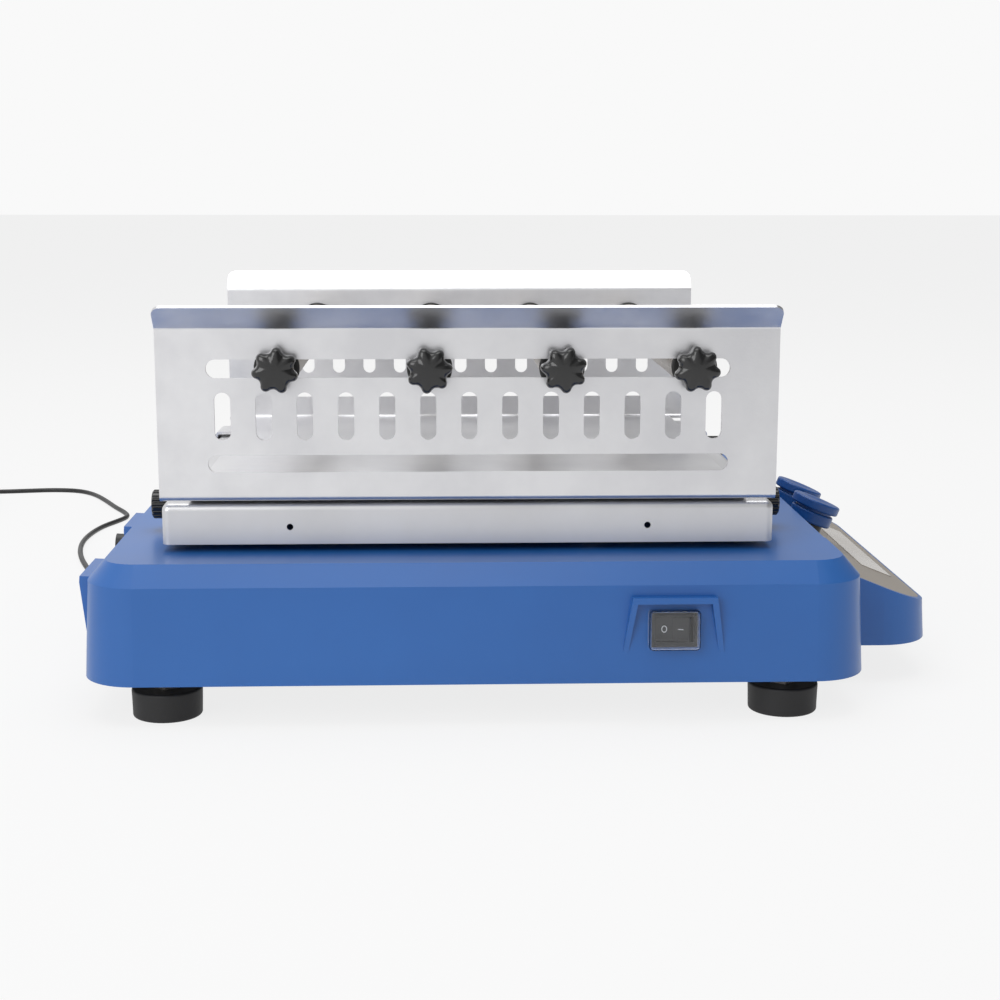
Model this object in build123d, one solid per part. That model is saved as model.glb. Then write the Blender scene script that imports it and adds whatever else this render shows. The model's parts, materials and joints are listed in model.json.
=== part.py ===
from build123d import *
from math import atan, cos, degrees, pi, radians, sin, sqrt, tan
import os

# Bench platform shaker with a slotted clamping tray, in millimetres.
# X runs across the machine, -Y is the front with the sloping panel, +Z is up.
# The origin is on the table, under the middle of the machine's box.

# Casing
body_width = 368.0
body_length = 377.0
body_corner_radius = 27.0
body_bottom = 19.6
wall_height = 46.9
wall_draft = 3.0
bevel_inset = 8.5
bevel_rise = 9.8
casing_wall = 3.0
wedge_width = 240.0
wedge_reach = 48.0
wedge_corner_radius = 27.0
wedge_draft = 3.6
wedge_root = 70.0
panel_slope = 22.0
panel_front_height = 39.0
deck_edge_gap = 0.6

# Hoods moulded over the switch and the sockets
hood_depth = 4.8
hood_top_width = 40.0
hood_flare = 4.2
hood_height = 27.0
hood_leg = 2.4
hood_roof = 3.0
side_hood_top = 61.2
side_hood_y = -92.7
rear_hood_top = 66.4
port_x = -134.3
jack_x = -12.3

# Panel sheet and window
overlay_thickness = 0.8
overlay_rim = 1.6
overlay_gap = 0.15
window_width = 124.0
window_depth = 18.0
window_from_front = 8.0
window_proud = 0.3

# Control knobs
knob_spacing = 47.5
knob_from_front = 52.5
knob_cap_radius = 13.5
knob_cap_height = 5.0
knob_groove_radius = 10.4
knob_groove_height = 1.4
knob_tier_radius = 12.1
knob_tier_height = 6.6
knob_bore_length = 8.5
knob_edge = 1.0
seal_radius = 9.6
seal_height = 7.6
seal_to_knob = 0.4
encoder_shaft_radius = 3.0
encoder_shaft_height = 14.0
encoder_bush_radius = 4.5
encoder_side = 14.0
encoder_height = 6.5

# Power switch
switch_y = -92.7
switch_z = 45.6
switch_flange_width = 22.2
switch_flange_height = 17.0
switch_flange = 1.2
switch_body_width = 21.0
switch_body_height = 14.6
switch_depth = 16.0
rocker_radius = 9.4
rocker_pivot_depth = 4.0
rocker_length = 11.6
rocker_rise = 1.5
rocker_dish = 1.1
rocker_foot = 6.0
rocker_swing = 10.0
rocker_gap = 0.4
switch_pin_radius = 1.0
cover_width = 24.4
cover_height = 19.3
cover_depth = 6.2
cover_wall = 0.8
cover_edge = 2.0

# Base
plate_thickness = 2.5
plate_recess = 1.0
plate_gap = 0.4
foot_x = 162.0
foot_y = 149.4
foot_radius = 17.0
foot_foot_radius = 16.6
foot_height = 14.0
foot_edge = 1.2
stud_radius = 4.0
stud_sunk = 8.0
stud_top_spare = 3.0
nut_flats = 13.0
boss_radius = 5.0
boss_screw_radius = 2.0
boss_screw_length = 12.0
boss_x = 140.0
boss_y = 160.0
mid_boss_x = 170.0
screw_head_radius = 3.6
screw_head_height = 2.2
vent_length = 60.0
vent_width = 4.0
vent_pitch = 10.0
vent_count = 5
vent_x = 60.0
vent_y = -130.0

# Drive
orbit_radius = 5.0
drive_offset = -1.8
shaft_radius = 8.5
bearing_radius = 20.0
bearing_width = 12.0
bearing_gap = 4.0
hub_barrel_radius = 25.0
hub_flange_radius = 40.0
hub_flange = 6.0
run_clearance = 0.05
part_gap = 0.3
pulley_radius = 50.0
pulley_lip = 1.6
belt_width = 7.0
belt_thickness = 1.8
belt_gap = 0.3
motor_pulley_radius = 12.5
motor_x = -82.0
motor_y = 68.0
motor_radius = 31.0
motor_height = 27.0
motor_shaft_radius = 4.0
weight_radius = 62.0
weight_thickness = 5.5
weight_hub_radius = 16.0
weight_half_angle = 62.0
crank_disc_radius = 17.0
crank_pin_radius = 6.0
pin_bearing_radius = 16.0
pin_bearing_width = 10.0
idler_ring = 118.0
idler_count = 3
idler_shaft_radius = 4.0
idler_bearing_radius = 11.0
idler_bearing_width = 7.0
idler_barrel_radius = 14.0
idler_flange_radius = 22.0
idler_disc_radius = 12.0
disc_thickness = 4.5
disc_over_deck = 1.0
deck_hole_gap = 2.0

# Platform
platform_width = 292.4
platform_length = 297.8
platform_bottom = 80.0
platform_top = 100.0
platform_sheet = 1.5
platform_edge_radius = 4.0
platform_corner_radius = 3.5
skirt_hole_radius = 1.6
side_hole_y = 87.0
skirt_hole_height = 88.5
carrier_web = 6.0
carrier_arm_width = 34.0
carrier_wall = 5.0
carrier_bottom = 83.5
carrier_screw_ring = 40.0
carrier_screw_radius = 2.5
carrier_screw_length = 14.0
mat_thickness = 1.6
mat_inset = 7.0

# Clamping tray
tray_width = 298.2
tray_length = 298.0
sheet = 1.5
bend_radius = 3.0
wall_top = 185.1
lip_out = 10.0
lip_up = 10.7
lip_corner_radius = 5.0
floor_set_back = 13.0
rail_slot_height = 9.0
rail_slot_length = 250.5
rail_slot_z = 165.7
low_slot_height = 8.3
low_slot_length = 250.5
low_slot_z = 120.0
slot_width = 7.7
slot_height = 23.0
slot_z = 142.9
slot_pitch = 19.63
slot_count = 13
tab_width = 26.0
tab_x = 91.0
tab_drop = 20.0
tab_gap = 0.2

# Thumbscrews that hold the tray's tabs to the platform
thumb_radius = 7.5
thumb_head = 9.4
thumb_screw_radius = 2.0
thumb_screw_length = 14.0
thumb_clearance = 0.1
thumb_neck = 1.2
thumb_z = 90.0
thumb_flutes = 18
thumb_flute_radius = 0.75

# Clamping bars and their star knobs
bar_places = [91.8, 18.9, -44.6, -108.4]
bar_radius = 10.1
bar_ring_radius = 10.9
bar_ring_length = 4.5
bar_stud_radius = 3.0
star_radius = 11.3
star_lobes = 7
star_valley = 2.2
star_scoop = 3.4
star_round = 1.7
star_thickness = 8.5
star_hub_radius = 6.5
star_hub_height = 4.0
star_edge = 1.3
star_grip = 9.5
star_turns = [8.0, 31.0, -6.0, 17.0]

# Sockets and boards
jack_radius = 5.6
jack_bore = 3.1
jack_depth = 14.0
jack_z = 53.0
jack_collar = 1.6
jack_collar_radius = 7.0
port_width = 30.8
port_height = 12.5
port_shell_width = 17.0
port_shell_height = 8.4
port_depth = 10.0
port_collar = 1.2
port_shell_out = 3.2
port_z = 48.0
board_thickness = 1.6
main_board_width = 70.0
main_board_length = 120.0
main_board_x = 128.0
main_board_y = 75.0
main_board_z = 34.0
standoff_radius = 3.0
post_inset = 5.0
panel_board_width = 150.0
panel_board_depth = 57.0
panel_board_front = 4.0
display_gap = 0.5

# Low-voltage lead, its plug and its plug-in power unit
cord_radius = 1.75
cord_lie = 1.75
plug_radius = 5.0
plug_neck_radius = 4.4
plug_out = 10.5
plug_drop = 12.0
relief_length = 10.0
relief_end_radius = 2.6
coil_mean_radius = 19.3
coil_band = 10.5
coil_height = 9.6
coil_x = 433.3
coil_y = 217.5
unit_width = 44.0
unit_length = 62.0
unit_height = 30.0
unit_edge = 4.0
unit_pin_radius = 2.0
unit_pin_length = 19.0
unit_pin_spacing = 18.6
unit_relief_length = 14.0
unit_relief_radius = 4.2

# Places worked out from the sizes
crease_z = body_bottom + wall_height
deck_z = crease_z + bevel_rise
deck_under = deck_z - casing_wall
bevel_angle = degrees(atan(bevel_inset / bevel_rise))
draft_run = tan(radians(wall_draft))
side_reach = body_width / 2 - (side_hood_top - body_bottom) * draft_run + hood_depth
rear_reach = body_length / 2 - (rear_hood_top - body_bottom) * draft_run + hood_depth
front_reach = body_length / 2 + wedge_reach
body_x = (side_reach - body_width / 2) / 2
body_y = (front_reach - rear_reach) / 2
drive_x = body_x
drive_y = body_y + drive_offset
stage_x = drive_x
stage_y = drive_y + orbit_radius
plate_bottom = body_bottom + plate_recess
plate_top = plate_bottom + plate_thickness
deck_edge = body_length / 2 - wall_height * draft_run - bevel_inset - deck_edge_gap
wedge_front_top = front_reach - (panel_front_height - body_bottom) * tan(radians(wedge_draft))
hub_top = plate_top + 2 * bearing_width + bearing_gap + 2.0
pulley_bottom = hub_top + 1.0
pulley_height = belt_width + 2 * pulley_lip
belt_bottom = pulley_bottom + pulley_lip
weight_bottom = pulley_bottom + pulley_height + 0.5
lead_x = body_x + jack_x
lead_y = body_y + body_length / 2
disc_bottom = deck_z + disc_over_deck
disc_top = disc_bottom + disc_thickness
carrier_top = platform_top - platform_sheet
mat_top = platform_top + mat_thickness
floor_top = mat_top + sheet
wall_out = tray_width / 2
wall_in = wall_out - sheet
idler_places = [
    (idler_ring * cos(radians(90 + 360 * k / idler_count)), idler_ring * sin(radians(90 + 360 * k / idler_count)))
    for k in range(idler_count)
]

MIDDLE = (Align.CENTER, Align.CENTER, Align.CENTER)
UPWARD = (Align.CENTER, Align.CENTER, Align.MIN)


def rod(radius, height, x=0.0, y=0.0, z=0.0):
    return Pos(x, y, z) * Cylinder(radius, height, align=UPWARD)


def block(width, length, height, x=0.0, y=0.0, z=0.0):
    return Pos(x, y, z) * Box(width, length, height, align=UPWARD)


def ring(outer, inner, height, x=0.0, y=0.0, z=0.0):
    return rod(outer, height, x, y, z) - rod(inner, height, x, y, z)


def turned(points):
    return revolve(Plane.XZ * make_face(Polyline(points, close=True)), Axis.Z)


def hexagon(flats, height):
    return extrude(RegularPolygon(flats / 2, 6, major_radius=False), amount=height)


# Planes on the casing
panel_plane = Plane(
    origin=(body_x, body_y - wedge_front_top, panel_front_height),
    x_dir=(1, 0, 0),
    z_dir=(0, -sin(radians(panel_slope)), cos(radians(panel_slope))),
)


def side_plane(y, z):
    face_x = body_x - body_width / 2 + (z - body_bottom) * draft_run
    return Plane(origin=(face_x, body_y + y, z), x_dir=(0, -1, 0), z_dir=(-1, 0, draft_run))


def rear_plane(x, z):
    face_y = body_y + body_length / 2 - (z - body_bottom) * draft_run
    return Plane(origin=(body_x + x, face_y, z), x_dir=(-1, 0, 0), z_dir=(0, 1, draft_run))


# Casing
def casing_block(inset):
    fall = inset * tan(radians(bevel_angle) / 2)
    plan = RectangleRounded(body_width - 2 * inset, body_length - 2 * inset, body_corner_radius - inset)
    lower = extrude(plan, amount=wall_height - fall, taper=wall_draft)
    crown = lower.faces().sort_by(Axis.Z)[-1]
    upper = extrude(crown, amount=bevel_rise - inset + fall, taper=bevel_angle)
    return Pos(body_x, body_y, body_bottom) * (lower + upper)


def wedge_block(inset):
    width = wedge_width - 2 * inset
    length = wedge_reach + wedge_root - inset
    plan = Pos(0, -body_length / 2 + wedge_root) * Rectangle(width, length, align=(Align.CENTER, Align.MAX))
    plan = fillet(plan.vertices().group_by(Axis.Y)[0], wedge_corner_radius - inset)
    return Pos(body_x, body_y, body_bottom) * extrude(plan, amount=wall_height, taper=wedge_draft)


def bay_block(grow):
    reach = body_width
    above = panel_plane * Pos(0, 0, -grow) * Box(wedge_width + 2 * grow, reach, reach, align=UPWARD)
    front = block(reach, body_length, 2 * reach, body_x, body_y - deck_edge + grow - body_length / 2)
    return above & front


def hood(plane, top_drop):
    low = -hood_height + top_drop
    half_top = hood_top_width / 2
    half_low = half_top + hood_flare
    outline = Polyline((-half_low, low), (half_low, low), (half_top, top_drop), (-half_top, top_drop), close=True)
    inner_top = top_drop - hood_roof
    pocket = Polyline(
        (-half_low + hood_leg, low - 1),
        (half_low - hood_leg, low - 1),
        (half_top - hood_leg, inner_top),
        (-half_top + hood_leg, inner_top),
        close=True,
    )
    body = extrude(make_face(outline), amount=hood_depth)
    body = body - extrude(make_face(pocket), amount=hood_depth)
    side = Polyline((low, 0), (top_drop, 0), (top_drop, hood_depth), (top_drop - hood_roof, hood_depth), close=True)
    wedge = extrude(Plane.YZ * make_face(side), amount=half_low, both=True)
    root = extrude(make_face(outline), amount=-casing_wall / 2) - extrude(make_face(pocket), amount=-casing_wall / 2)
    return plane * ((body & wedge) + root)


def boss_places():
    corners = [(x, y) for x in (-boss_x, boss_x) for y in (-boss_y, boss_y)]
    return corners + [(-mid_boss_x, 0.0), (mid_boss_x, 0.0)]


def make_casing():
    outer = casing_block(0) + wedge_block(0) - bay_block(0)
    inner = casing_block(casing_wall) + wedge_block(casing_wall) - bay_block(casing_wall)
    shell = outer - inner
    for x, y in boss_places():
        pillar = rod(boss_radius, deck_under - plate_top + 0.5, body_x + x, body_y + y, plate_top)
        hole = rod(boss_screw_radius, boss_screw_length + 2, body_x + x, body_y + y, plate_top)
        shell = shell + pillar - hole
    shell = shell + hood(side_plane(side_hood_y, side_hood_top), 0)
    shell = shell + hood(rear_plane(port_x, rear_hood_top), 0)
    shell = shell + hood(rear_plane(jack_x, rear_hood_top), 0)
    recess = panel_sheet_face(0)
    shell = shell - panel_plane * Pos(0, 0, -overlay_thickness) * extrude(recess, amount=overlay_thickness)
    drill = 4 * casing_wall
    for x in (-knob_spacing / 2, knob_spacing / 2):
        hole = Cylinder(encoder_bush_radius + run_clearance, drill, align=MIDDLE)
        shell = shell - panel_plane * Pos(x, knob_from_front, 0) * hole
    opening = Box(window_width - 6, window_depth - 6, drill, align=MIDDLE)
    shell = shell - panel_plane * Pos(0, window_from_front + window_depth / 2, 0) * opening
    shell = shell - rod(shaft_radius + deck_hole_gap, drill, drive_x, drive_y, deck_z - drill / 2)
    for x, y in idler_places:
        bore = idler_shaft_radius + deck_hole_gap
        shell = shell - rod(bore, drill, drive_x + x, drive_y + y, deck_z - drill / 2)
    cut = Box(switch_body_width + 0.2, switch_body_height + 0.2, drill, align=MIDDLE)
    shell = shell - side_plane(switch_y, switch_z) * cut
    shell = shell - rear_plane(jack_x, jack_z) * Cylinder(jack_radius + 0.1, drill, align=MIDDLE)
    shell = shell - rear_plane(port_x, port_z) * Box(port_shell_width + 1, port_shell_height + 1, drill)
    return shell


def panel_sheet_face(gap):
    front = overlay_rim + gap
    rear = (wedge_front_top - deck_edge) / cos(radians(panel_slope)) - 1.0 - gap
    width = wedge_width - 2 * (overlay_rim + gap) - 2 * wedge_draft_loss()
    face = Pos(0, front) * Rectangle(width, rear - front, align=(Align.CENTER, Align.MIN))
    return fillet(face.vertices().group_by(Axis.Y)[0], wedge_corner_radius - overlay_rim - gap)


def wedge_draft_loss():
    rise = panel_front_height - body_bottom + (wedge_front_top - deck_edge) * tan(radians(panel_slope))
    return rise * tan(radians(wedge_draft))


def make_panel_sheet():
    sheet_face = panel_sheet_face(overlay_gap)
    body = extrude(sheet_face, amount=overlay_thickness)
    for x in (-knob_spacing / 2, knob_spacing / 2):
        body = body - Pos(x, knob_from_front, 0) * Cylinder(encoder_bush_radius + run_clearance, 6, align=MIDDLE)
    body = body - Pos(0, window_from_front + window_depth / 2, 0) * Box(window_width, window_depth, 6)
    return panel_plane * Pos(0, 0, -overlay_thickness) * body


def make_window():
    pane = Box(window_width - 2 * overlay_gap, window_depth - 2 * overlay_gap, overlay_thickness + window_proud,
               align=UPWARD)
    pane = fillet(pane.edges().filter_by(Axis.Z), 2.0)
    place = Pos(0, window_from_front + window_depth / 2, -overlay_thickness)
    return panel_plane * place * pane


def make_panel_board():
    base = Box(panel_board_width, panel_board_depth, board_thickness, align=UPWARD)
    middle = panel_board_front + panel_board_depth / 2
    under = -casing_wall - encoder_height - board_thickness
    display_y = window_from_front + window_depth / 2 - middle
    display = block(window_width - 12, window_depth - 10, encoder_height - display_gap, 0, display_y, board_thickness)
    chips = block(14, 8, 1.5, -58, 12, -1.5) + block(10, 6, 4, 55, 11, -4)
    return panel_plane * Pos(0, middle, under) * (base + display + chips)


def make_encoders():
    encoder = block(encoder_side, encoder_side, encoder_height, 0, 0, -casing_wall - encoder_height)
    encoder = encoder + rod(encoder_bush_radius, casing_wall, 0, 0, -casing_wall)
    encoder = encoder + rod(encoder_shaft_radius, encoder_shaft_height, 0, 0, 0)
    return [panel_plane * Pos(x, knob_from_front, 0) * encoder for x in (-knob_spacing / 2, knob_spacing / 2)]


def make_seals():
    profile = [
        (encoder_shaft_radius + part_gap, 0),
        (seal_radius, 0),
        (seal_radius, seal_height * 0.4),
        (seal_radius - 1.2, seal_height * 0.55),
        (seal_radius - 1.2, seal_height),
        (encoder_shaft_radius + part_gap, seal_height),
    ]
    return [panel_plane * Pos(x, knob_from_front, 0) * turned(profile) for x in (-knob_spacing / 2, knob_spacing / 2)]


def make_control_knob(x):
    low = seal_height + seal_to_knob
    tier_top = low + knob_tier_height
    groove_top = tier_top + knob_groove_height
    top = groove_top + knob_cap_height
    body = rod(knob_tier_radius, knob_tier_height, 0, 0, low)
    body = body + rod(knob_groove_radius, knob_groove_height, 0, 0, tier_top)
    body = body + rod(knob_cap_radius, knob_cap_height, 0, 0, groove_top)
    rims = body.edges().filter_by(GeomType.CIRCLE)
    sharp = [e for e in rims if abs(e.radius - knob_cap_radius) < 0.01 or abs(e.radius - knob_tier_radius) < 0.01]
    body = fillet(sharp, knob_edge)
    dish = Pos(0, 0, top + 59.4) * Sphere(60)
    body = body - dish
    bore = rod(encoder_shaft_radius + run_clearance, encoder_shaft_height + part_gap - low, 0, 0, low)
    return panel_plane * Pos(x, knob_from_front, 0) * (body - bore)


# Power switch
def make_switch_frame():
    width = 2 * (rocker_radius + rocker_gap)
    height = rocker_length + 2 * rocker_gap
    mouth = 2 * (sqrt(rocker_radius ** 2 - rocker_pivot_depth ** 2) + rocker_gap)
    body = block(switch_body_width, switch_body_height, switch_depth, 0, 0, -switch_depth)
    body = body + block(switch_flange_width, switch_flange_height, switch_flange)
    depth = rocker_pivot_depth + rocker_foot + rocker_gap
    body = body - block(width - 1.0, height, depth, 0, 0, -depth)
    body = body - block(mouth, height, switch_flange + 1)
    pin = Pos(0, 0, -rocker_pivot_depth) * Rot(90, 0, 0) * Cylinder(switch_pin_radius, switch_body_height - 1)
    cavity = Pos(0, 0, -rocker_pivot_depth) * Rot(90, 0, 0) * Cylinder(rocker_radius + rocker_gap, height)
    keep = block(switch_body_width - 1.2, height, switch_depth, 0, 0, -switch_depth + switch_flange)
    body = body - (cavity & keep) + pin
    lugs = block(0.8, 5, 6, -5, 0, -switch_depth - 6) + block(0.8, 5, 6, 5, 0, -switch_depth - 6)
    return side_plane(switch_y, switch_z) * (body + lugs)


def make_rocker():
    drum = Rot(90, 0, 0) * Cylinder(rocker_radius, rocker_length)
    half = rocker_length / 2
    rise = rocker_rise + rocker_pivot_depth
    reach = 2 * rocker_radius
    crown = Polyline(
        (-reach, rise + rocker_dish),
        (0, rise - rocker_dish),
        (reach, rise + rocker_dish),
        (reach, -rocker_foot),
        (-reach, -rocker_foot),
        close=True,
    )
    form = extrude(Plane.XZ * make_face(crown), amount=half, both=True)
    bore = Rot(90, 0, 0) * Cylinder(switch_pin_radius + run_clearance, rocker_length)
    neutral = (drum & form) - bore
    placed = Pos(0, 0, -rocker_pivot_depth) * Rot(0, -rocker_swing, 0) * neutral
    return side_plane(switch_y, switch_z) * placed


def make_switch_cover():
    dome = Box(cover_width, cover_height, cover_depth, align=UPWARD)
    dome = fillet(dome.edges().filter_by(Axis.Z) + dome.edges().group_by(Axis.Z)[-1], cover_edge)
    inside = Box(cover_width - 2 * cover_wall, cover_height - 2 * cover_wall, cover_depth - cover_wall, align=UPWARD)
    inside = fillet(inside.edges().filter_by(Axis.Z) + inside.edges().group_by(Axis.Z)[-1], cover_edge - cover_wall)
    return side_plane(switch_y, switch_z) * (dome - inside)


# Base
def plate_outline(inset):
    plan = RectangleRounded(body_width - 2 * inset, body_length - 2 * inset, body_corner_radius - inset)
    tongue = Pos(0, -body_length / 2 + wedge_root) * Rectangle(
        wedge_width - 2 * inset, wedge_reach + wedge_root - inset, align=(Align.CENTER, Align.MAX))
    tongue = fillet(tongue.vertices().group_by(Axis.Y)[0], wedge_corner_radius - inset)
    return plan + tongue


def foot_places():
    return [(x, y) for x in (-foot_x, foot_x) for y in (-foot_y, foot_y)]


def make_base_plate():
    inset = casing_wall + plate_gap
    plate = Pos(body_x, body_y, plate_bottom) * extrude(plate_outline(inset), amount=plate_thickness)
    for x, y in board_post_places():
        plate = plate + rod(standoff_radius, main_board_z - plate_top, body_x + x, body_y + y, plate_top)
    for x, y in foot_places():
        plate = plate - rod(stud_radius + 0.2, plate_thickness, body_x + x, body_y + y, plate_bottom)
    for x, y in boss_places():
        plate = plate - rod(boss_screw_radius + 0.2, plate_thickness, body_x + x, body_y + y, plate_bottom)
    slot = extrude(SlotOverall(vent_length, vent_width), amount=plate_thickness)
    for side in (-1, 1):
        for k in range(vent_count):
            place = Pos(body_x + side * vent_x, body_y + vent_y + k * vent_pitch, plate_bottom)
            plate = plate - place * slot
    return plate


def make_base_screws():
    screws = []
    for x, y in boss_places():
        head = rod(screw_head_radius, screw_head_height, 0, 0, plate_bottom - screw_head_height)
        head = fillet(head.edges().group_by(Axis.Z)[0], 1.0)
        drive = Pos(0, 0, plate_bottom - screw_head_height) * hexagon(2.5, 1.2)
        shank = rod(boss_screw_radius - run_clearance, plate_thickness + boss_screw_length, 0, 0, plate_bottom)
        screws.append(Pos(body_x + x, body_y + y, 0) * (head - drive + shank))
    return screws


def make_feet():
    feet = []
    for x, y in foot_places():
        pad = turned([(0, 0), (foot_foot_radius, 0), (foot_radius, foot_height), (0, foot_height)])
        pad = fillet(pad.edges().filter_by(GeomType.CIRCLE), foot_edge)
        pad = pad - rod(stud_radius, foot_height - stud_sunk, 0, 0, stud_sunk)
        feet.append(Pos(body_x + x, body_y + y, 0) * pad)
    return feet


def nut_height():
    return plate_bottom - foot_height


def make_foot_studs():
    top = plate_top + nut_height() + stud_top_spare
    return [rod(stud_radius, top - stud_sunk, body_x + x, body_y + y, stud_sunk) for x, y in foot_places()]


def make_foot_nuts():
    nuts = []
    nut = hexagon(nut_flats, nut_height()) - rod(stud_radius, nut_height())
    for x, y in foot_places():
        nuts.append(Pos(body_x + x, body_y + y, foot_height) * nut)
        nuts.append(Pos(body_x + x, body_y + y, plate_top) * nut)
    return nuts


# Drive
def at_drive(shape):
    return Pos(drive_x, drive_y, 0) * shape


def make_main_hub():
    bore = bearing_radius
    low = plate_top
    hub = rod(hub_flange_radius, hub_flange, 0, 0, low) + rod(hub_barrel_radius, hub_top - low, 0, 0, low)
    hub = hub - rod(bore, bearing_width, 0, 0, low)
    hub = hub - rod(bore - 3, bearing_gap, 0, 0, low + bearing_width)
    hub = hub - rod(bore, hub_top - low, 0, 0, low + bearing_width + bearing_gap)
    for k in range(4):
        angle = radians(45 + 90 * k)
        place = (hub_flange_radius + hub_barrel_radius) / 2
        hub = hub - rod(2.6, hub_flange, place * cos(angle), place * sin(angle), low)
    return at_drive(hub)


def make_main_bearings():
    low = plate_top
    high = low + bearing_width + bearing_gap
    inner = shaft_radius + run_clearance
    return [at_drive(ring(bearing_radius, inner, bearing_width, 0, 0, z)) for z in (low, high)]


def make_crank_shaft():
    shaft = rod(shaft_radius, disc_bottom - plate_top - 1.0, 0, 0, plate_top + 1.0)
    shaft = shaft + rod(crank_disc_radius, disc_thickness, 0, 0, disc_bottom)
    shaft = shaft + rod(crank_pin_radius, carrier_top - 1.0 - disc_top, 0, orbit_radius, disc_top)
    return at_drive(shaft)


def make_drive_pulley():
    waist = rod(pulley_radius, pulley_height, 0, 0, pulley_bottom)
    for z in (pulley_bottom, pulley_bottom + pulley_height - pulley_lip):
        waist = waist + rod(pulley_radius + belt_thickness + 1.2, pulley_lip, 0, 0, z)
    for k in range(6):
        angle = radians(30 + 60 * k)
        reach = (pulley_radius + shaft_radius) / 2 + 2
        waist = waist - rod(10, pulley_height, reach * cos(angle), reach * sin(angle), pulley_bottom)
    return at_drive(waist - rod(shaft_radius, pulley_height, 0, 0, pulley_bottom))


def make_counterweight():
    start = -90 - weight_half_angle
    fan = Polyline((0, 0), PolarLine((0, 0), weight_radius, start) @ 1)
    fan = fan + CenterArc((0, 0), weight_radius, start, 2 * weight_half_angle)
    fan = fan + Line(PolarLine((0, 0), weight_radius, start + 2 * weight_half_angle) @ 1, (0, 0))
    weight = extrude(make_face(fan), amount=weight_thickness) + rod(weight_hub_radius, weight_thickness)
    weight = weight - rod(shaft_radius, weight_thickness)
    return at_drive(Pos(0, 0, weight_bottom) * weight)


def make_motor():
    body = rod(motor_radius, motor_height, 0, 0, plate_top)
    body = fillet(body.edges().group_by(Axis.Z)[-1], 2.0)
    body = body + block(2.2 * motor_radius, 1.2 * motor_radius, 3, 0, 0, plate_top)
    body = body + rod(11, 2, 0, 0, plate_top + motor_height)
    body = body - rod(motor_shaft_radius + run_clearance, 12, 0, 0, plate_top + motor_height - 10)
    return Pos(drive_x + motor_x, drive_y + motor_y, 0) * body


def make_motor_pulley():
    waist = rod(motor_pulley_radius, pulley_height, 0, 0, pulley_bottom)
    for z in (pulley_bottom, pulley_bottom + pulley_height - pulley_lip):
        waist = waist + rod(motor_pulley_radius + belt_thickness + 1.2, pulley_lip, 0, 0, z)
    low = plate_top + motor_height - 9
    waist = waist + rod(motor_shaft_radius, pulley_bottom - low, 0, 0, low)
    return Pos(drive_x + motor_x, drive_y + motor_y, 0) * waist


def belt_loop(grow):
    big = Circle(pulley_radius + grow)
    small = Pos(motor_x, motor_y) * Circle(motor_pulley_radius + grow)
    return make_hull(big.edges() + small.edges())


def make_belt():
    loop = extrude(belt_loop(belt_gap + belt_thickness), amount=belt_width - 2 * part_gap)
    loop = loop - extrude(belt_loop(belt_gap), amount=belt_width - 2 * part_gap)
    return Pos(drive_x, drive_y, belt_bottom + part_gap) * loop


def make_idler_hubs():
    top = deck_under - 2.0
    hubs = []
    for x, y in idler_places:
        hub = rod(idler_flange_radius, 4, 0, 0, plate_top) + rod(idler_barrel_radius, top - plate_top, 0, 0, plate_top)
        hub = hub - rod(idler_shaft_radius + 1.0, top - plate_top, 0, 0, plate_top)
        hub = hub - rod(idler_bearing_radius, idler_bearing_width, 0, 0, plate_top)
        hub = hub - rod(idler_bearing_radius, idler_bearing_width, 0, 0, top - idler_bearing_width)
        hubs.append(Pos(drive_x + x, drive_y + y, 0) * hub)
    return hubs


def make_idler_bearings():
    top = deck_under - 2.0
    inner = idler_shaft_radius + run_clearance
    rings = []
    for x, y in idler_places:
        for z in (plate_top, top - idler_bearing_width):
            place = (drive_x + x, drive_y + y, z)
            rings.append(ring(idler_bearing_radius, inner, idler_bearing_width, *place))
    return rings


def make_idler_crank(x, y):
    crank = rod(idler_shaft_radius, disc_bottom - plate_top - 1.0, 0, 0, plate_top + 1.0)
    crank = crank + rod(idler_disc_radius, disc_thickness, 0, 0, disc_bottom)
    crank = crank + rod(idler_shaft_radius, carrier_top - 1.0 - disc_top, 0, orbit_radius, disc_top)
    return Pos(drive_x + x, drive_y + y, 0) * crank


# Platform
def at_stage(shape):
    return Pos(stage_x, stage_y, 0) * shape


def make_platform():
    height = platform_top - platform_bottom
    skin = block(platform_width, platform_length, height, 0, 0, platform_bottom)
    skin = fillet(skin.edges().filter_by(Axis.Z), platform_corner_radius)
    skin = fillet(skin.edges().group_by(Axis.Z)[-1], platform_edge_radius - 0.6)
    inner = block(platform_width - 2 * platform_sheet, platform_length - 2 * platform_sheet, height - platform_sheet,
                  0, 0, platform_bottom)
    inner = fillet(inner.edges().filter_by(Axis.Z), platform_corner_radius - platform_sheet)
    skin = skin - inner
    for y in (-side_hole_y, side_hole_y):
        drill = Pos(0, y, skirt_hole_height) * Rot(0, 90, 0) * Cylinder(skirt_hole_radius, 2 * platform_width)
        skin = skin - drill
    for x in (-tab_x, tab_x):
        bore = Cylinder(thumb_screw_radius + thumb_clearance, 2 * platform_length)
        skin = skin - Pos(x, 0, thumb_z) * Rot(90, 0, 0) * bore
    for x, y in carrier_screw_places():
        sink = turned([(0, platform_top), (2 * carrier_screw_radius, platform_top),
                       (carrier_screw_radius, platform_top - platform_sheet), (0, platform_top - platform_sheet)])
        skin = skin - Pos(x, y, 0) * sink
    return at_stage(skin)


def carrier_screw_places():
    places = []
    for k in range(idler_count):
        angle = radians(150 + 360 * k / idler_count)
        places.append((carrier_screw_ring * cos(angle), carrier_screw_ring * sin(angle)))
        out = radians(90 + 360 * k / idler_count)
        reach = idler_ring - 28
        places.append((reach * cos(out), reach * sin(out)))
    return places


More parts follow.
